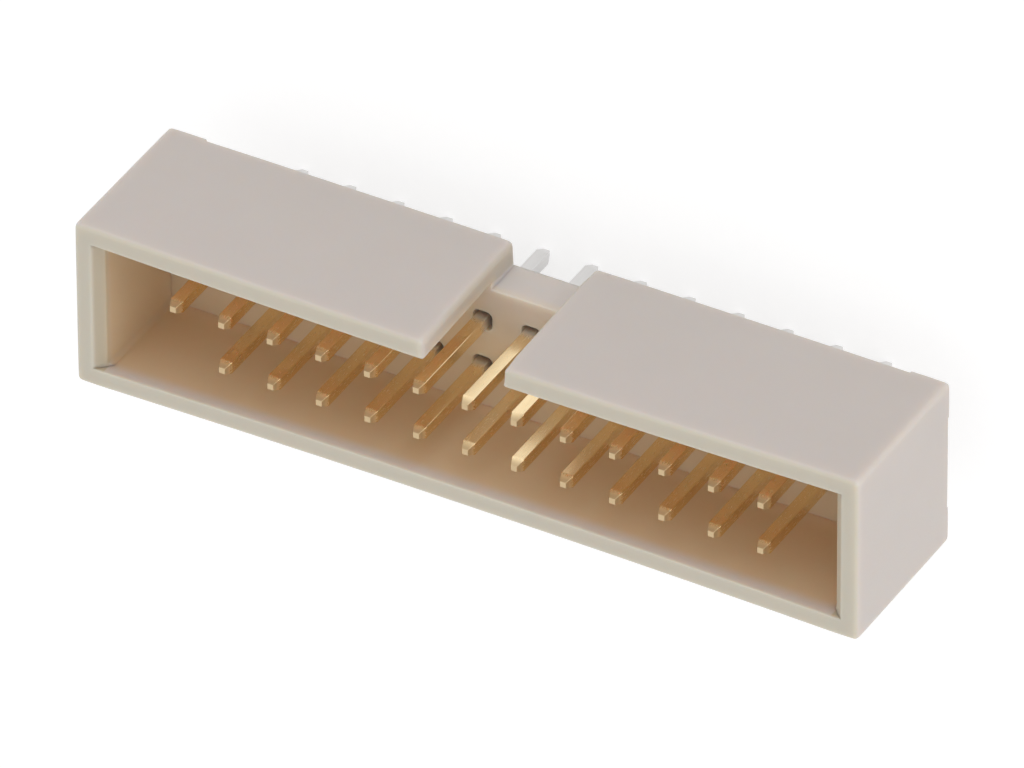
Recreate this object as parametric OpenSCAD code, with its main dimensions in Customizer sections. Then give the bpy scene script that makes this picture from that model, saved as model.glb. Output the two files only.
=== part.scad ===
// Straight shrouded box header for flat-cable (IDC) sockets: two rows of square
// contacts pressed through the floor of one moulded, keyed housing.
//
// Frame: the origin is the middle of the contact pattern on the board's surface,
// +Z is the way the socket is pulled off, X runs along the rows, and the key slot
// is in the wall on the -Y side. The solder tails hang below Z = 0.

/* [Contact pattern] */
// Distance between neighbouring contacts, along and across the rows
pitch = 2.54; // [2:0.01:3]
// Contacts in each of the two rows
columns = 13; // [5:1:20]
// Position number left without a contact, or 0 for a full header
omitted_position = 26; // [0:1:40]

/* [Contact] */
// Side of the square contact wire
contact_w = 0.64; // [0.4:0.01:0.7]
// Depth of the contact tips below the housing's rim
tip_recess = 0.15; // [0:0.05:1.5]
// Length of the solder tail below the board's surface
tail_length = 3.6; // [2:0.1:5]
// Length of the four-sided taper on each end of a contact
taper_length = 0.45; // [0.2:0.05:0.8]
// Width of the flat that the taper leaves on each end
taper_flat = 0.3; // [0.1:0.01:0.36]

/* [Housing] */
// Distance from the outermost contacts to the housing's end faces
end_margin = 5.08; // [4.5:0.01:6.5]
// Width of the housing across the rows
body_w = 8.9; // [7.4:0.1:12]
// Height of the housing's rim above the board
body_h = 8.7; // [7:0.1:11]
// Height of the cavity's floor above the board
floor_h = 2.4; // [1.6:0.1:3.2]
// Thickness of the two long walls
side_wall_t = 0.95; // [0.6:0.05:1.2]
// Thickness of the two end walls
end_wall_t = 1.35; // [1:0.05:2]
// Size of the lead-in chamfer along the end walls' rims
lead_in = 0.5; // [0.2:0.05:0.7]
// Radius of the housing's upright outer corners
corner_r = 0.2; // [0.1:0.05:0.5]
// Radius along the outer edges of the rim
rim_edge_r = 0.1; // [0.05:0.05:0.35]
// Radius along the outer edges of the underside
base_edge_r = 0.15; // [0.05:0.05:0.5]
// Radius of the cavity's upright corners
cavity_r = 0.3; // [0.1:0.05:0.5]

/* [Key slot] */
// Width of the key slot in the long wall
key_w = 4.1; // [3:0.1:4.6]
// Depth of the slot's notch into the floor block, from the wall's outer face
key_depth = 1.3; // [1:0.05:1.6]
// Radius where the slot's sides turn into the rim
key_r = 0.25; // [0.1:0.05:0.6]

/* [Contact pockets] */
// Side of the square pocket round each contact in the cavity's floor
pocket_w = 1; // [0.9:0.05:1.3]
// Depth of the pocket below the cavity's floor
pocket_depth = 0.7; // [0.2:0.05:1]
// Radius of the pocket's corners
pocket_r = 0.3; // [0.1:0.02:0.4]
// Clearance between a contact and its hole, on each side (0 is face to face)
contact_fit = 0; // [0:0.01:0.05]

/* [Standoffs] */
// Height of the corner pads that hold the underside off the board
pad_h = 0.15; // [0.1:0.05:0.5]
// Length of each pad along the housing
pad_l = 2; // [1:0.1:3]
// Width of each pad across the housing
pad_w = 1.9; // [1:0.1:2.4]

/* [Hidden] */
positions = 2 * columns;
body_l = (columns - 1) * pitch + 2 * end_margin;
cavity_l = body_l - 2 * end_wall_t;
cavity_w = body_w - 2 * side_wall_t;
tip_z = body_h - tip_recess;
hole_w = contact_w + 2 * contact_fit;
taper_inset = (contact_w - taper_flat) / 2;
overcut = 1;
housing_colour = [0.77, 0.74, 0.69];
contact_colour = [0.80, 0.62, 0.30];

// Odd positions run along the key-slot side and even ones along the other,
// counted in pairs from the -X end.
function column_of(position) = floor((position - 1) / 2);
function contact_x(position) = (column_of(position) - (columns - 1) / 2) * pitch;
function contact_y(position) = position % 2 == 1 ? -pitch / 2 : pitch / 2;
function contact_name(position) = str("contact_", position < 10 ? "0" : "", position);
fitted = [for (position = [1:positions]) if (position != omitted_position) position];

// A rectangle that stands on the X axis, with its own radius at the foot and the top
module rounded_panel(width, height, foot_r, top_r) {
    half = width / 2;
    polygon([
        [foot_r - half, 0], [half - foot_r, 0],
        [half, foot_r], [half, height - top_r],
        [half - top_r, height], [top_r - half, height],
        [-half, height - top_r], [-half, foot_r]
    ]);
    for (side = [-1, 1]) {
        translate([side * (half - foot_r), foot_r])
            circle(r = foot_r, $fn = 48);
        translate([side * (half - top_r), height - top_r])
            circle(r = top_r, $fn = 48);
    }
}

// A rectangle centred on the origin, with four equal round corners
module rounded_rectangle(length, width, radius) {
    translate([0, -width / 2])
        rounded_panel(length, width, radius, radius);
}

// The housing as a plain block: its plan has the upright corners' radius, and the
// front and end elevations round the edges of the rim and of the underside.
module outer_block() {
    intersection() {
        linear_extrude(body_h)
            rounded_rectangle(body_l, body_w, corner_r);
        along_y(body_w)
            rounded_panel(body_l, body_h, base_edge_r, rim_edge_r);
        along_x(body_l)
            rounded_panel(body_w, body_h, base_edge_r, rim_edge_r);
    }
}

// Stands a front elevation up and extrudes it well past a body of the given width
module along_y(width) {
    translate([0, width, 0])
        rotate([90, 0, 0])
            linear_extrude(2 * width)
                children();
}

// Stands an end elevation up and extrudes it well past a body of the given length
module along_x(length) {
    translate([-length, 0, 0])
        rotate([90, 0, 90])
            linear_extrude(2 * length)
                children();
}

// The well that the socket is pushed into, open at the rim
module cavity() {
    translate([0, 0, floor_h])
        linear_extrude(body_h - floor_h + overcut)
            rounded_rectangle(cavity_l, cavity_w, cavity_r);
}

// The sloping cut at the rim of both end walls that guides the socket in
module lead_in_cut() {
    half = cavity_l / 2;
    reach = lead_in + overcut;
    translate([0, cavity_w / 2, body_h])
        rotate([90, 0, 0])
            linear_extrude(cavity_w)
                polygon([
                    [-half, -lead_in], [half, -lead_in],
                    [half + reach, overcut], [-half - reach, overcut]
                ]);
}

// What rounding the slot's +X side takes from the wall at the rim
module mouth_flare() {
    difference() {
        translate([key_w / 2, body_h - key_r])
            square([key_r, key_r + overcut]);
        translate([key_w / 2 + key_r, body_h - key_r])
            circle(r = key_r, $fn = 48);
    }
}

// The front elevation of the slot above the cavity's floor
module key_profile() {
    translate([-key_w / 2, floor_h])
        square([key_w, body_h - floor_h + overcut]);
    for (side = [0, 1])
        mirror([side, 0])
            mouth_flare();
}

// The key slot: through the long wall above the cavity's floor, and below it as a
// deeper notch in the block that holds the contacts
module key_slot() {
    translate([0, side_wall_t + overcut - body_w / 2, 0])
        rotate([90, 0, 0])
            linear_extrude(side_wall_t + 2 * overcut)
                key_profile();
    translate([-key_w / 2, -body_w / 2 - overcut, -overcut])
        cube([key_w, key_depth + overcut, floor_h + 2 * overcut]);
}

// The way through the floor for one contact, with the pocket above it
module contact_hole() {
    translate([-hole_w / 2, -hole_w / 2, -overcut])
        cube([hole_w, hole_w, floor_h + 2 * overcut]);
    translate([0, 0, floor_h - pocket_depth])
        linear_extrude(pocket_depth + overcut)
            rounded_rectangle(pocket_w, pocket_w, pocket_r);
}

// What is cut from the underside to leave a pad standing at each corner
module underside_relief() {
    translate([0, 0, -overcut])
        linear_extrude(overcut + pad_h) {
            square([body_l - 2 * pad_l, body_w + 2 * overcut], center = true);
            square([body_l + 2 * overcut, body_w - 2 * pad_w], center = true);
        }
}

module housing() {
    color(housing_colour)
        difference() {
            outer_block();
            cavity();
            lead_in_cut();
            key_slot();
            underside_relief();
            for (position = [1:positions])
                translate([contact_x(position), contact_y(position), 0])
                    contact_hole();
        }
}

// The side view of a contact, straight wire with a taper at both ends
module contact_profile() {
    half = contact_w / 2;
    polygon([
        [-taper_flat / 2, -tail_length], [taper_flat / 2, -tail_length],
        [half, taper_length - tail_length], [half, tip_z - taper_length],
        [half - taper_inset, tip_z], [taper_inset - half, tip_z],
        [-half, tip_z - taper_length], [-half, taper_length - tail_length]
    ]);
}

// A contact: it has the same outline from the front and from the end
module contact(position) {
    color(contact_colour)
        translate([contact_x(position), contact_y(position), 0])
            intersection() {
                along_y(contact_w)
                    contact_profile();
                along_x(contact_w)
                    contact_profile();
            }
}

housing();
for (position = fitted)
    contact(position);
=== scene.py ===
import math

import bmesh
import bpy
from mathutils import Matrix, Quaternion, Vector


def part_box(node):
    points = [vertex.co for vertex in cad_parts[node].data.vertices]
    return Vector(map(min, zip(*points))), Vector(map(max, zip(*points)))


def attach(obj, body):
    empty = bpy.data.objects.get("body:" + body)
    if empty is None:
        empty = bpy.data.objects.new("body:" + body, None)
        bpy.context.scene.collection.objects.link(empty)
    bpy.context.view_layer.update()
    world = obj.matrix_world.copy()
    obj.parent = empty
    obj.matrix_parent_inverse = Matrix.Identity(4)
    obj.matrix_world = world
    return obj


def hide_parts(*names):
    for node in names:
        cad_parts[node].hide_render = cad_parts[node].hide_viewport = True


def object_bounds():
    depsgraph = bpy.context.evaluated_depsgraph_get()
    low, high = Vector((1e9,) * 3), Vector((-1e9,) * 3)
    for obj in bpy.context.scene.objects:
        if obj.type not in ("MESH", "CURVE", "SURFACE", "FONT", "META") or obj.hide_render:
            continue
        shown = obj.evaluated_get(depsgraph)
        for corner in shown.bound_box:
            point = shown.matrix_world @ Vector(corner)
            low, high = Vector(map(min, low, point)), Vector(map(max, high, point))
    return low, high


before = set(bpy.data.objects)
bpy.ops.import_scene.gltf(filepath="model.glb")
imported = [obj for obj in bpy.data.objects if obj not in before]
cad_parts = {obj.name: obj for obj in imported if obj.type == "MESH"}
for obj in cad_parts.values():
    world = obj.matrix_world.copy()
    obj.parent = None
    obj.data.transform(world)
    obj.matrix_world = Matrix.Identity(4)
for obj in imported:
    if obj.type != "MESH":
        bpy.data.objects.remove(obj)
cad_low, cad_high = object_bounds()

# ---------------------------------------------------------------- housing
# One injection-moulded block of off-white thermoplastic: four thin walls round a
# floor that grips the contacts, with the key slot in one long wall. Cooling has
# drawn both long walls in a little along the rim, and no edge is quite sharp.
MM = 0.001
pitch = 2.54 * MM
floor_height = 2.4 * MM
side_wall = 0.95 * MM
end_wall = 1.35 * MM
slot_half_width = 2.05 * MM
slot_mouth = 0.25 * MM
lead_in = 0.5 * MM
pad_height = 0.15 * MM

# The least distance that counts
hair = 0.001 * MM

# How near to an outer edge the CAD's own small rounding starts, less a hair or two
corner_reach = 0.198 * MM
rim_reach = 0.098 * MM
base_reach = 0.148 * MM

# The long walls lean in at the rim by the bow, most of all at mid length
wall_bow = 0.22 * MM
bow_rise = 1.3
bow_stations = 10

# Corners are rounded the most, for a short way along each edge, and every other
# edge gets a share of that
corner_round = 0.38 * MM
corner_length = 0.6 * MM
round_steps = 3
slot_share = 0.7
outer_share = 0.47
base_share = 0.3
inner_share = 0.16

# Faces that meet at less than the crease are one curved surface, and those that
# meet at less than the level limit are one flat face
crease = math.radians(35)
level_limit = math.radians(0.5)

body_low, body_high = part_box("housing")
cavity_half_length = body_high.x - end_wall
cavity_half_width = body_high.y - side_wall
long_wall_starts = cavity_half_width - 10 * hair
rim_height = body_high.z


def squared(place):
    """Where a point of a rounded outer edge would be if that edge were still sharp."""
    x, y, z = place

    # The slot's mouth flares out to the rim
    if y < 0 and abs(x) < slot_half_width + slot_mouth + hair:
        if z > rim_height - slot_mouth + hair:
            x, z = math.copysign(slot_half_width, x), rim_height
            if y < rim_reach + 5 * hair - body_high.y:
                y = -body_high.y

    # The upright corners, and the outer edges of the rim and of the underside
    side_x, side_y = math.copysign(body_high.x, x), math.copysign(body_high.y, y)
    in_x, in_y = abs(side_x - x), abs(side_y - y)
    at_corner = max(in_x, in_y) < corner_reach
    if at_corner:
        x, y = side_x, side_y
    for reach, level in ((rim_reach, rim_height), (base_reach, 0)):
        if abs(place.z - level) < reach and (at_corner or min(in_x, in_y) < reach):
            x = side_x if in_x < reach else x
            y = side_y if in_y < reach else y
            z = level
    return Vector((x, y, z))


def on_chamfer(place):
    """Carries the end walls' lead-in on over the fillets in the cavity's corners."""
    in_fillet = cavity_half_length - abs(place.x)
    if abs(place.z - (rim_height - lead_in)) > hair or in_fillet < 0:
        return place
    return Vector((place.x, place.y, place.z - in_fillet))


def bowed(place):
    """Where a point of a long wall ends up after the moulding has cooled."""
    along = min(abs(place.x) / cavity_half_length, 1)
    up = max(place.z - floor_height, 0) / (rim_height - floor_height)
    if abs(place.y) < long_wall_starts:
        return place
    inwards = wall_bow * (1 - along ** 2) * up ** bow_rise
    return Vector((place.x, place.y - math.copysign(inwards, place.y), place.z))


def on_outside(place):
    """Whether a point is on an end, on a side, and on the rim or the underside."""
    return (abs(place.x) > body_high.x - hair, abs(place.y) > body_high.y - hair,
            place.z > rim_height - hair or place.z < pad_height + 3 * hair)


def outer_faces(bm):
    """The faces of a mesh that lie on the outside of the moulding."""
    return [face for face in bm.faces if any(on_outside(face.calc_center_median()))]


def cut(bm, faces, point, normal):
    """Cuts some of a mesh's faces, and no others, by a plane."""
    geom = set(faces)
    for face in faces:
        geom.update(face.edges)
        geom.update(face.verts)
    bmesh.ops.bisect_plane(
        bm, geom=list(geom), dist=0.1 * hair, plane_co=point, plane_no=normal)


def softness_of(edge):
    """What share of the corners' rounding an edge gets."""
    if edge.calc_face_angle_signed(0) < crease:
        return 0.0
    middle = (edge.verts[0].co + edge.verts[1].co) / 2
    on_end, on_side, on_level = on_outside(middle)
    from_slot = abs(abs(middle.x) - slot_half_width) + max(middle.y, 0)
    at_slot = from_slot < hair
    on_pad = hair < middle.z < base_reach
    if on_end + on_side + on_level + at_slot < 2 or on_pad:
        return inner_share
    from_corner = max(
        body_high.y - abs(middle.y), min(middle.z, rim_height - middle.z),
        min(body_high.x - abs(middle.x), from_slot))
    if from_corner < corner_length:
        return 1.0
    if at_slot:
        return slot_share
    return base_share if on_level and middle.z < rim_height / 2 else outer_share


# The CAD's moulding is merged, and its outer edges are squared so that they can be
# rounded again with a ball at each corner
housing_mesh = bpy.data.meshes.new("housing_moulding")
bm = bmesh.new()
bm.from_mesh(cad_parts["housing"].data)
bmesh.ops.remove_doubles(bm, verts=bm.verts, dist=0.1 * hair)
for vert in bm.verts:
    vert.co = on_chamfer(squared(vert.co))
bmesh.ops.remove_doubles(bm, verts=bm.verts, dist=0.5 * hair)
bmesh.ops.dissolve_degenerate(bm, dist=0.5 * hair, edges=bm.edges)
bmesh.ops.dissolve_limit(
    bm, angle_limit=level_limit, verts=bm.verts, edges=bm.edges)

# A face with holes in it needs seams to them. All the faces are parted along the two
# rows of holes instead, and the other seams are dissolved.
for row in (-pitch / 2, pitch / 2):
    cut(bm, bm.faces, point=(0, row, 0), normal=(0, 1, 0))
bmesh.ops.dissolve_edges(bm, edges=[
    edge for edge in bm.edges
    if edge.calc_face_angle(0) < level_limit
    and any(abs(abs(vert.co.y) - pitch / 2) > hair for vert in edge.verts)])

# Cuts near the corners end their wider rounding there, and cuts across the long
# walls let them bow
for inset in (corner_length, 2 * corner_length):
    for point, normal in (
            ((body_high.x - inset, 0, 0), (1, 0, 0)),
            ((inset - body_high.x, 0, 0), (1, 0, 0)),
            ((slot_half_width + inset, 0, 0), (1, 0, 0)),
            ((-slot_half_width - inset, 0, 0), (1, 0, 0)),
            ((0, body_high.y - inset, 0), (0, 1, 0)),
            ((0, inset - body_high.y, 0), (0, 1, 0)),
            ((0, 0, rim_height - inset), (0, 0, 1)),
            ((0, 0, inset), (0, 0, 1))):
        cut(bm, outer_faces(bm), point, normal)
cut(bm, outer_faces(bm), point=(0, 0, floor_height), normal=(0, 0, 1))
for i in range(1, bow_stations):
    station = cavity_half_length * (2 * i / bow_stations - 1)
    long_walls = [
        face for face in bm.faces
        if abs(face.calc_center_median().y) > long_wall_starts]
    cut(bm, long_walls, point=(station, 0, 0), normal=(1, 0, 0))

softness = bm.edges.layers.float.new("bevel_weight_edge")
for edge in bm.edges:
    edge[softness] = softness_of(edge)
    edge.smooth = edge.calc_face_angle_signed(0) > -crease
for vert in bm.verts:
    vert.co = bowed(vert.co)
bmesh.ops.recalc_face_normals(bm, faces=bm.faces)
for face in bm.faces:
    face.smooth = True
bm.to_mesh(housing_mesh)
bm.free()

housing = bpy.data.objects.new("housing_moulding", housing_mesh)
bpy.context.scene.collection.objects.link(housing)
softening = housing.modifiers.new("soft_edges", "BEVEL")
softening.width = corner_round
softening.segments = round_steps
softening.limit_method = "WEIGHT"
softening.use_clamp_overlap = False
evening = housing.modifiers.new("even_shading", "WEIGHTED_NORMAL")
evening.keep_sharp = True
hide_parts("housing")
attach(housing, "root")


def node(tree, kind, **settings):
    """Adds a shader node of a kind, with its settings."""
    made = tree.nodes.new("ShaderNode" + kind)
    for name, value in settings.items():
        setattr(made, name, value)
    return made


def feed(tree, socket, source):
    """Gives a socket its source, which is another node's output or a plain value."""
    if isinstance(source, bpy.types.NodeSocket):
        tree.links.new(source, socket)
    else:
        socket.default_value = source


def reckon(tree, operation, *terms):
    """One step of arithmetic on numbers or on other nodes' outputs."""
    step = node(tree, "Math", operation=operation)
    for socket, term in zip(step.inputs, terms):
        feed(tree, socket, term)
    return step.outputs["Value"]


def overlap(tree, *masks):
    """Where all of the masks hold at once, which is their product."""
    shared = masks[0]
    for mask in masks[1:]:
        shared = reckon(tree, "MULTIPLY", shared, mask)
    return shared


def ramp(tree, value, low, high, at_low=0.0, at_high=1.0, shape="SMOOTHSTEP"):
    """Turns a value between low and high into one between at_low and at_high."""
    spread = node(tree, "MapRange", interpolation_type=shape)
    feed(tree, spread.inputs["Value"], value)
    spread.inputs["From Min"].default_value = low
    spread.inputs["From Max"].default_value = high
    spread.inputs["To Min"].default_value = at_low
    spread.inputs["To Max"].default_value = at_high
    return spread.outputs["Result"]


def blend(tree, share, first, second):
    """Mixes two colours by a share between 0 and 1."""
    mixed = node(tree, "Mix", data_type="RGBA")
    share_socket, first_socket, second_socket, mixed_socket = 0, 6, 7, 2
    feed(tree, mixed.inputs[share_socket], share)
    feed(tree, mixed.inputs[first_socket], first)
    feed(tree, mixed.inputs[second_socket], second)
    return mixed.outputs[mixed_socket]


def axes_of(tree):
    """A point's place on its piece, and the same split into X, Y and Z."""
    place = node(tree, "TexCoord").outputs["Object"]
    axes = node(tree, "SeparateXYZ")
    tree.links.new(place, axes.inputs["Vector"])
    return place, *axes.outputs


def raise_grain(tree, shader, grain, strength, height):
    """Lets the light fall on a grain as on a relief of the given height."""
    relief = node(tree, "Bump")
    relief.inputs["Strength"].default_value = strength
    relief.inputs["Distance"].default_value = height
    tree.links.new(grain, relief.inputs["Height"])
    tree.links.new(relief.outputs["Normal"], shader.inputs["Normal"])


def effect(name, inputs, outputs):
    """An empty node group, with the kinds of its named inputs and outputs."""
    group = bpy.data.node_groups.new(name, "ShaderNodeTree")
    for side, sockets in (("INPUT", inputs), ("OUTPUT", outputs)):
        for socket, kind in sockets.items():
            group.interface.new_socket(
                socket, in_out=side, socket_type="NodeSocket" + kind)
    return group, group.nodes.new("NodeGroupInput"), group.nodes.new("NodeGroupOutput")


# Grain of a surface in millimetres: a fine grain, as spark-eroded steel leaves on
# plastic and rolling leaves on metal, and broad clouds of slightly uneven colour.
# The draw stretches both along an axis where it is less than 1.
grain_detail = 2.0
cloud_detail = 3.0
grain_low, grain_high = 0.3, 0.7
grain_group, taken, given = effect(
    "surface_grain",
    {"Grain per mm": "Float", "Clouds per mm": "Float", "Draw": "Vector"},
    {"Grain": "Float", "Clouds": "Float"})
drawn = node(grain_group, "VectorMath", operation="MULTIPLY")
grain_group.links.new(
    node(grain_group, "TexCoord").outputs["Object"], drawn.inputs[0])
grain_group.links.new(taken.outputs["Draw"], drawn.inputs[1])
in_mm = node(grain_group, "VectorMath", operation="SCALE")
in_mm.inputs["Scale"].default_value = 1 / MM
grain_group.links.new(drawn.outputs["Vector"], in_mm.inputs[0])
for name, detail in (("Grain", grain_detail), ("Clouds", cloud_detail)):
    noise = node(grain_group, "TexNoise")
    noise.inputs["Detail"].default_value = detail
    grain_group.links.new(in_mm.outputs["Vector"], noise.inputs["Vector"])
    grain_group.links.new(taken.outputs[name + " per mm"], noise.inputs["Scale"])
    grain_group.links.new(noise.outputs["Fac"], given.inputs[name])

# Wear along the edges of a block: 1 on an edge of a box of the given half size and
# 0 a set width away from it, whichever two of its faces meet there.
edge_group, taken, given = effect(
    "edge_wear",
    {"From Middle": "Vector", "Half Size": "Vector", "Width": "Float"},
    {"Edge": "Float"})
way_out = node(edge_group, "VectorMath", operation="ABSOLUTE")
edge_group.links.new(taken.outputs["From Middle"], way_out.inputs[0])
way_in = node(edge_group, "VectorMath", operation="SUBTRACT")
edge_group.links.new(taken.outputs["Half Size"], way_in.inputs[0])
edge_group.links.new(way_out.outputs["Vector"], way_in.inputs[1])
depths = node(edge_group, "SeparateXYZ")
edge_group.links.new(way_in.outputs["Vector"], depths.inputs["Vector"])
depth_x, depth_y, depth_z = depths.outputs
lesser = reckon(edge_group, "MINIMUM", depth_x, depth_y)
greater = reckon(edge_group, "MAXIMUM", depth_x, depth_y)
second_least = reckon(
    edge_group, "MAXIMUM", lesser, reckon(edge_group, "MINIMUM", greater, depth_z))
nearness = reckon(
    edge_group, "SUBTRACT", 1.0,
    reckon(edge_group, "DIVIDE", second_least, taken.outputs["Width"]))
edge_group.links.new(reckon(edge_group, "MAXIMUM", nearness, 0.0), given.inputs["Edge"])

# The plastic is milky: light soaks into it. Inside the cavity its colour is painted darker
# and warmer: painted shade, with painted warm light that goes back and forth between the
# walls.
resin_outside = (0.672, 0.618, 0.582, 1)
resin_cloudy = (0.652, 0.595, 0.556, 1)
# Painted shade and painted warm bounced light of the cavity
cavity_painted_shade = (0.695, 0.534, 0.350, 1)
# Painted light where the slot wall is lit through
resin_lit_through = (0.810, 0.675, 0.510, 1)
slot_cut_painted_shade = (0.580, 0.525, 0.450, 1)
notch_painted_light = (0.800, 0.735, 0.685, 1)
rim_painted_shade = (0.630, 0.595, 0.505, 1)
lead_in_painted_shade = (0.555, 0.490, 0.374, 1)
resin_edge = (0.665, 0.620, 0.575, 1)
soak_per_colour = (1.0, 0.78, 0.6)
soak_depth = 0.9 * MM

plastic_grain_per_mm = 9
plastic_clouds_per_mm = 0.35
plastic_draw = (0.7, 1, 1)
plastic_grain_height = 0.006 * MM
plastic_grain_strength = 0.5
plastic_smoothest, plastic_roughest = 0.48, 0.60
worn_width = 0.35 * MM
worn_share = 0.25
worn_polish = 0.12

plastic = bpy.data.materials.new("moulded_plastic")
plastic.use_nodes = True
tree = plastic.node_tree
shader = tree.nodes["Principled BSDF"]
grain = node(tree, "Group", node_tree=grain_group)
grain.inputs["Grain per mm"].default_value = plastic_grain_per_mm
grain.inputs["Clouds per mm"].default_value = plastic_clouds_per_mm
grain.inputs["Draw"].default_value = plastic_draw
place, along, across, height = axes_of(tree)
from_mid_length = reckon(tree, "ABSOLUTE", along)
from_mid_width = reckon(tree, "ABSOLUTE", across)

# A tone that keeps to one surface reaches this far under it
skin = 0.02 * MM

# The painted warm shade fills the cavity from under the rim to the pockets in the floor,
# and fades out in the thickness of the walls. Painted daylight from the key slot thins it
# beside the slot.
wall_fade = 0.5 * MM
tone_starts, tone_is_full = 0.25 * MM, 1.1 * MM
pocket_fade = 0.6 * MM
daylight_length = 1.6 * MM
daylight_ends = 0.6 * MM
daylight_share = 0.65
within_width = ramp(
    tree, from_mid_width,
    cavity_half_width + skin, cavity_half_width + wall_fade, 1.0, 0.0)
within_length = ramp(
    tree, from_mid_length,
    cavity_half_length + skin, cavity_half_length + wall_fade, 1.0, 0.0)
under_rim = ramp(tree, height, rim_height - tone_starts, rim_height - tone_is_full)
above_floor = ramp(tree, height, floor_height - pocket_fade, floor_height)
beside_slot = overlap(
    tree,
    ramp(tree, from_mid_length,
         slot_half_width, slot_half_width + daylight_length, 1.0, 0.0),
    ramp(tree, across, -cavity_half_width, daylight_ends, 1.0, 0.0))
out_of_daylight = reckon(
    tree, "SUBTRACT", 1.0, reckon(tree, "MULTIPLY", beside_slot, daylight_share))
# Where the cavity's painted shade and warm light are laid on
inside = overlap(
    tree, within_width, within_length, under_rim, above_floor, out_of_daylight)

# Painted light: the wall with the slot is painted lighter, as if lit through from outside,
# and the floor a little
lit_wall_from, lit_wall_to = 0.9 * MM, 0.4 * MM
lit_floor_height = 1.2 * MM
lit_floor_share = 0.45
lit_through = reckon(
    tree, "MAXIMUM",
    ramp(tree, across,
         lit_wall_from - cavity_half_width, lit_wall_to - cavity_half_width),
    ramp(tree, height, floor_height + lit_floor_height, floor_height,
         0.0, lit_floor_share))
# The cavity's painted shade, with painted light where it is lit through
within = blend(tree, lit_through, cavity_painted_shade, resin_lit_through)

# Outside, the clouds and the rubbed edges come first, and then the painted shade of the
# rim, the painted shade deep in the slot's cut sides, the painted light on its notch in
# the floor block and the painted shade on the lead-in
from_centre = node(tree, "VectorMath", operation="SUBTRACT")
tree.links.new(place, from_centre.inputs[0])
from_centre.inputs[1].default_value = (body_low + body_high) / 2
edges = node(tree, "Group", node_tree=edge_group)
tree.links.new(from_centre.outputs["Vector"], edges.inputs["From Middle"])
edges.inputs["Half Size"].default_value = (body_high - body_low) / 2
edges.inputs["Width"].default_value = worn_width
worn = reckon(tree, "MULTIPLY", edges.outputs["Edge"], worn_share)
outside = blend(tree, grain.outputs["Clouds"], resin_outside, resin_cloudy)
outside = blend(tree, worn, outside, resin_edge)

# Painted shade: the rim is painted darker and yellower, for the weaker light that falls on
# it
rim_skin = 0.15 * MM
rim_shade_share = ramp(tree, height, rim_height - rim_skin, rim_height - skin)
outside = blend(tree, rim_shade_share, outside, rim_painted_shade)

# Painted shade: the slot's cut sides are painted darker, most of all deep in the slot
cut_fade = 0.3 * MM
cut_ends = 0.2 * MM
cut_darkens_over = 4 * MM
cut_least_share = 0.35
slot_shade_share = overlap(
    tree,
    ramp(tree, from_mid_length,
         slot_half_width + skin, slot_half_width + cut_fade, 1.0, 0.0),
    ramp(tree, across, cut_ends - cavity_half_width, -cavity_half_width),
    ramp(tree, height, rim_height, rim_height - cut_darkens_over,
         cut_least_share, 1.0))
outside = blend(tree, slot_shade_share, outside, slot_cut_painted_shade)

# Painted light: the notch's step face is painted lighter, against the shade of its recess
notch_face = 1.3 * MM - body_high.y
notch_blur = 0.05 * MM
notch_light_share = overlap(
    tree,
    ramp(tree, from_mid_length, slot_half_width - notch_blur, slot_half_width, 1.0, 0.0),
    ramp(tree, across, notch_face + notch_blur, notch_face - notch_blur),
    ramp(tree, height, floor_height + 2 * notch_blur, floor_height))
outside = blend(tree, notch_light_share, outside, notch_painted_light)

# Painted shade: the end walls' lead-in is painted darker and warmer
lead_in_blur = 0.1 * MM
lead_in_end = cavity_half_length + lead_in
lead_in_shade_share = overlap(
    tree, within_width,
    ramp(tree, from_mid_length, cavity_half_length - lead_in_blur, cavity_half_length),
    ramp(tree, from_mid_length,
         lead_in_end - lead_in_blur / 2, lead_in_end + lead_in_blur, 1.0, 0.0),
    ramp(tree, height, rim_height, rim_height - rim_skin),
    ramp(tree, height, rim_height - 2 * lead_in, rim_height - lead_in - lead_in_blur))
outside = blend(tree, lead_in_shade_share, outside, lead_in_painted_shade)

feed(tree, shader.inputs["Base Color"], blend(tree, inside, outside, within))
matt = ramp(tree, grain.outputs["Grain"], grain_low, grain_high,
            plastic_smoothest, plastic_roughest, "LINEAR")
feed(tree, shader.inputs["Roughness"], reckon(
    tree, "SUBTRACT", matt, reckon(tree, "MULTIPLY", worn, worn_polish)))
raise_grain(tree, shader, grain.outputs["Grain"],
            strength=plastic_grain_strength, height=plastic_grain_height)
shader.inputs["Subsurface Weight"].default_value = 1.0
shader.inputs["Subsurface Radius"].default_value = soak_per_colour
shader.inputs["Subsurface Scale"].default_value = soak_depth
housing_mesh.materials.append(plastic)

# ---------------------------------------------------------------- contacts
# Twenty-five lengths of square wire with rolled edges, coined to a taper at both
# ends and pressed through the floor. The mating half is plated with gold down to
# just above the floor, and the rest down to the solder tail's end with tin.
contact_count = 25
wire = 0.64 * MM
taper = 0.45 * MM
tip_flat = 0.3 * MM
rolled_edge = 0.05 * MM
ridge_share = 0.3
tip_share = 0.5

# The tin gives way to gold in an uneven line, and the tips, which were sheared
# and coined last, are duller than the drawn sides: rougher, and painted darker as painted
# shade on their reflections
gold_from = 2.7 * MM
gold_fade = 0.6 * MM
gold_wander = 0.3 * MM
sheared_and_shaded_from, sheared_and_shaded_to = 1.1 * taper, 0.1 * taper
gold_plate = (0.98, 0.80, 0.50, 1)
gold_deep = (0.94, 0.72, 0.42, 1)
gold_tip_painted_shade = (0.62, 0.47, 0.28, 1)
tin_plate = (0.78, 0.77, 0.76, 1)
tin_dull = (0.66, 0.65, 0.64, 1)

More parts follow.
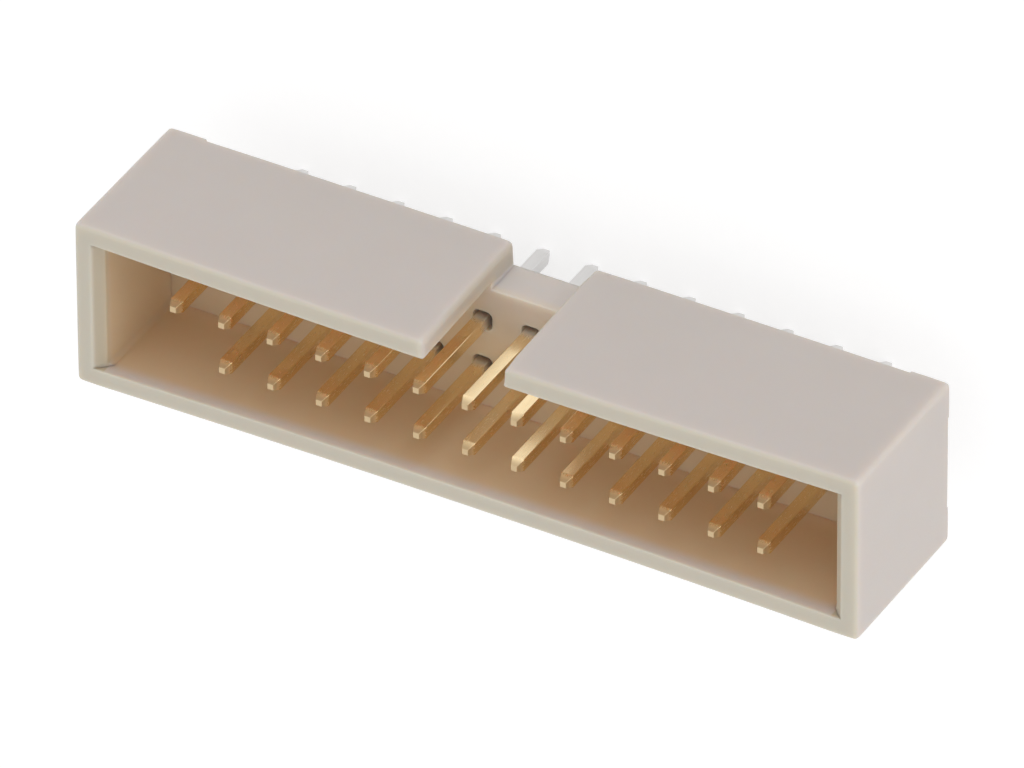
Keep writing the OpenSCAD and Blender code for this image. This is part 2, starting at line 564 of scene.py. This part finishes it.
wire_grain_per_mm = 22
wire_clouds_per_mm = 1.6
wire_draw = (1, 1, 0.12)
wire_grain_height = 0.002 * MM
wire_grain_strength = 0.4
gold_smoothest, gold_roughest = 0.19, 0.29
tin_rougher = 0.12
sheared_rougher = 0.18
rubbed_width = 0.1 * MM
rubbed_smoother = 0.08

plating = bpy.data.materials.new("gold_and_tin_plating")
plating.use_nodes = True
tree = plating.node_tree
shader = tree.nodes["Principled BSDF"]
shader.inputs["Metallic"].default_value = 1
grain = node(tree, "Group", node_tree=grain_group)
grain.inputs["Grain per mm"].default_value = wire_grain_per_mm
grain.inputs["Clouds per mm"].default_value = wire_clouds_per_mm
grain.inputs["Draw"].default_value = wire_draw
along, across, height = axes_of(tree)[1:]
wandering = reckon(
    tree, "ADD", height,
    reckon(tree, "MULTIPLY", grain.outputs["Clouds"], gold_wander))
gilded = ramp(tree, wandering, gold_from, gold_from + gold_fade)
gold = blend(tree, grain.outputs["Clouds"], gold_plate, gold_deep)
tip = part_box("contact_01")[1].z
# Painted shade: the gold is painted darker towards the tips, and the same share makes them
# rougher
sheared_and_shaded = ramp(tree, height, tip - sheared_and_shaded_from, tip - sheared_and_shaded_to)
gold = blend(tree, sheared_and_shaded, gold, gold_tip_painted_shade)
tin = blend(tree, grain.outputs["Clouds"], tin_plate, tin_dull)
feed(tree, shader.inputs["Base Color"], blend(tree, gilded, tin, gold))

# The columns stand at whole pitches from the middle and the rows half a pitch
# either side of it, so wrapping gives a place's distance from its own wire. Only
# the long edges are rubbed, so the wires' ends count as far away.
ends_far_away = 1
from_wire = node(tree, "CombineXYZ")
feed(tree, from_wire.inputs["X"], reckon(tree, "WRAP", along, pitch / 2, -pitch / 2))
feed(tree, from_wire.inputs["Y"], reckon(
    tree, "SUBTRACT", reckon(tree, "WRAP", across, pitch, 0.0), pitch / 2))
edges = node(tree, "Group", node_tree=edge_group)
tree.links.new(from_wire.outputs["Vector"], edges.inputs["From Middle"])
edges.inputs["Half Size"].default_value = (wire / 2, wire / 2, ends_far_away)
edges.inputs["Width"].default_value = rubbed_width
satin = ramp(tree, grain.outputs["Grain"], grain_low, grain_high,
             gold_smoothest, gold_roughest, "LINEAR")
satin = reckon(tree, "ADD", satin, reckon(
    tree, "MULTIPLY", reckon(tree, "SUBTRACT", 1.0, gilded), tin_rougher))
satin = reckon(
    tree, "ADD", satin, reckon(tree, "MULTIPLY", sheared_and_shaded, sheared_rougher))
feed(tree, shader.inputs["Roughness"], reckon(
    tree, "SUBTRACT", satin,
    reckon(tree, "MULTIPLY", edges.outputs["Edge"], rubbed_smoother)))
raise_grain(tree, shader, grain.outputs["Grain"],
            strength=wire_grain_strength, height=wire_grain_height)

for number in range(1, contact_count + 1):
    name = f"contact_{number:02d}"
    low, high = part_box(name)
    centre = (low + high) / 2
    bm = bmesh.new()
    bmesh.ops.create_cube(bm, size=1)
    bmesh.ops.scale(bm, verts=bm.verts, vec=(wire, wire, high.z - low.z - 2 * taper))
    bmesh.ops.translate(bm, verts=bm.verts, vec=centre)
    for end in [face for face in bm.faces if abs(face.normal.z) > 0.5]:
        outward = math.copysign(taper, end.normal.z)
        coined = bmesh.ops.extrude_discrete_faces(bm, faces=[end])["faces"][0]
        bmesh.ops.translate(bm, verts=coined.verts, vec=(0, 0, outward))
        axis = coined.calc_center_median()
        for vert in coined.verts:
            vert.co.x = axis.x + (vert.co.x - axis.x) * tip_flat / wire
            vert.co.y = axis.y + (vert.co.y - axis.y) * tip_flat / wire
    bmesh.ops.recalc_face_normals(bm, faces=bm.faces)
    for face in bm.faces:
        face.smooth = True
    rolled = bm.edges.layers.float.new("bevel_weight_edge")
    for edge in bm.edges:
        run = edge.verts[1].co - edge.verts[0].co
        upright = abs(run.x) + abs(run.y) < hair
        sloping = abs(run.z) > hair and not upright
        edge[rolled] = 1.0 if upright else ridge_share if sloping else tip_share
    mesh = bpy.data.meshes.new(name + "_wire")
    bm.to_mesh(mesh)
    bm.free()
    mesh.materials.append(plating)
    contact = bpy.data.objects.new(name + "_wire", mesh)
    bpy.context.scene.collection.objects.link(contact)
    rolling = contact.modifiers.new("rolled_edges", "BEVEL")
    rolling.width = rolled_edge
    rolling.segments = round_steps
    rolling.limit_method = "WEIGHT"
    rolling.use_clamp_overlap = False
    rolling.harden_normals = True
    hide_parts(name)
    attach(contact, "root")

# ---------------------------------------------------------------- stage and light
# A wide sheet of white paper under the tails, lit by two soft lamps from the key
# slot's side. The camera sees the paper as white, with the header's soft shadow.
paper_size = 3
paper_white = (0.9, 0.9, 0.9, 1)
paper_roughness = 0.9
paper_glow = 0.70
paper_shade = (0.45, 0.45, 0.45, 1)
room_white = (1, 1, 1, 1)
room_light = 0.76

bpy.ops.mesh.primitive_plane_add(size=paper_size, location=(0, 0, cad_low.z))
ground = bpy.context.object
ground.name = "ground"


def seen_straight(tree):
    """1 for the camera, a reflection or a see-through part, and 0 for other light."""
    path = node(tree, "LightPath")
    return reckon(
        tree, "MAXIMUM", path.outputs["Is Camera Ray"],
        reckon(tree, "MAXIMUM", path.outputs["Is Glossy Ray"],
               path.outputs["Is Transmission Ray"]))


paper = bpy.data.materials.new("paper")
paper.use_nodes = True
tree = paper.node_tree
sheet = tree.nodes["Principled BSDF"]
sheet.inputs["Roughness"].default_value = paper_roughness
sheet.inputs["Base Color"].default_value = paper_white
glow = node(tree, "Emission")
glow.inputs["Strength"].default_value = paper_glow
shade = node(tree, "BsdfDiffuse")
shade.inputs["Color"].default_value = paper_shade
bright = node(tree, "AddShader")
tree.links.new(glow.outputs["Emission"], bright.inputs[0])
tree.links.new(shade.outputs["BSDF"], bright.inputs[1])
chosen = node(tree, "MixShader")
feed(tree, chosen.inputs["Fac"], seen_straight(tree))
tree.links.new(sheet.outputs["BSDF"], chosen.inputs[1])
tree.links.new(bright.outputs["Shader"], chosen.inputs[2])
tree.links.new(chosen.outputs["Shader"], tree.nodes["Material Output"].inputs["Surface"])
ground.data.materials.append(paper)

world = bpy.data.worlds.new("studio")
bpy.context.scene.world = world
world.use_nodes = True
tree = world.node_tree
room = tree.nodes["Background"]
room.inputs["Color"].default_value = room_white
feed(tree, room.inputs["Strength"],
     ramp(tree, seen_straight(tree), 0, 1, room_light, 1.0, "LINEAR"))


def softbox(name, direction, distance, size, power):
    """A square lamp that shines on the header from a direction."""
    data = bpy.data.lights.new(name, "AREA")
    data.shape = "SQUARE"
    data.size = size
    data.energy = power
    lamp = bpy.data.objects.new(name, data)
    aim = Vector(direction).normalized()
    lamp.location = aim * distance
    lamp.rotation_mode = "QUATERNION"
    lamp.rotation_quaternion = (-aim).to_track_quat("-Z", "Y")
    bpy.context.scene.collection.objects.link(lamp)


softbox("key", direction=(-0.25, -0.85, 0.2), distance=0.5, size=0.35, power=0.28)
softbox("fill", direction=(-0.95, -0.05, 0.1), distance=0.5, size=0.3, power=0.56)

# ---------------------------------------------------------------- camera
# A long lens looks down into the open side of the header from its key-slot
# corner. The header lies on its plain long wall in that view, so the camera is
# rolled over with it.
view_azimuth = math.radians(-33.56)
view_elevation = math.radians(44.26)
view_roll = math.radians(136.77)
view_distance = 0.8565
view_target = Vector((1.08, 1.90, 2.27)) * MM
film_width = 36
focal_length = 661.7
nearest, farthest = 0.1, 5

towards_camera = Vector((
    math.sin(view_azimuth) * math.cos(view_elevation),
    -math.cos(view_azimuth) * math.cos(view_elevation),
    math.sin(view_elevation),
))
camera_data = bpy.data.cameras.new("camera")
camera_data.sensor_width = film_width
camera_data.lens = focal_length
camera_data.clip_start = nearest
camera_data.clip_end = farthest
camera = bpy.data.objects.new("camera", camera_data)
camera.location = view_target + towards_camera * view_distance
camera.rotation_mode = "QUATERNION"
upright = (-towards_camera).to_track_quat("-Z", "Y")
camera.rotation_quaternion = upright @ Quaternion((0, 0, 1), -view_roll)
bpy.context.scene.collection.objects.link(camera)
bpy.context.scene.camera = camera
bpy.context.scene.view_settings.view_transform = "Standard"
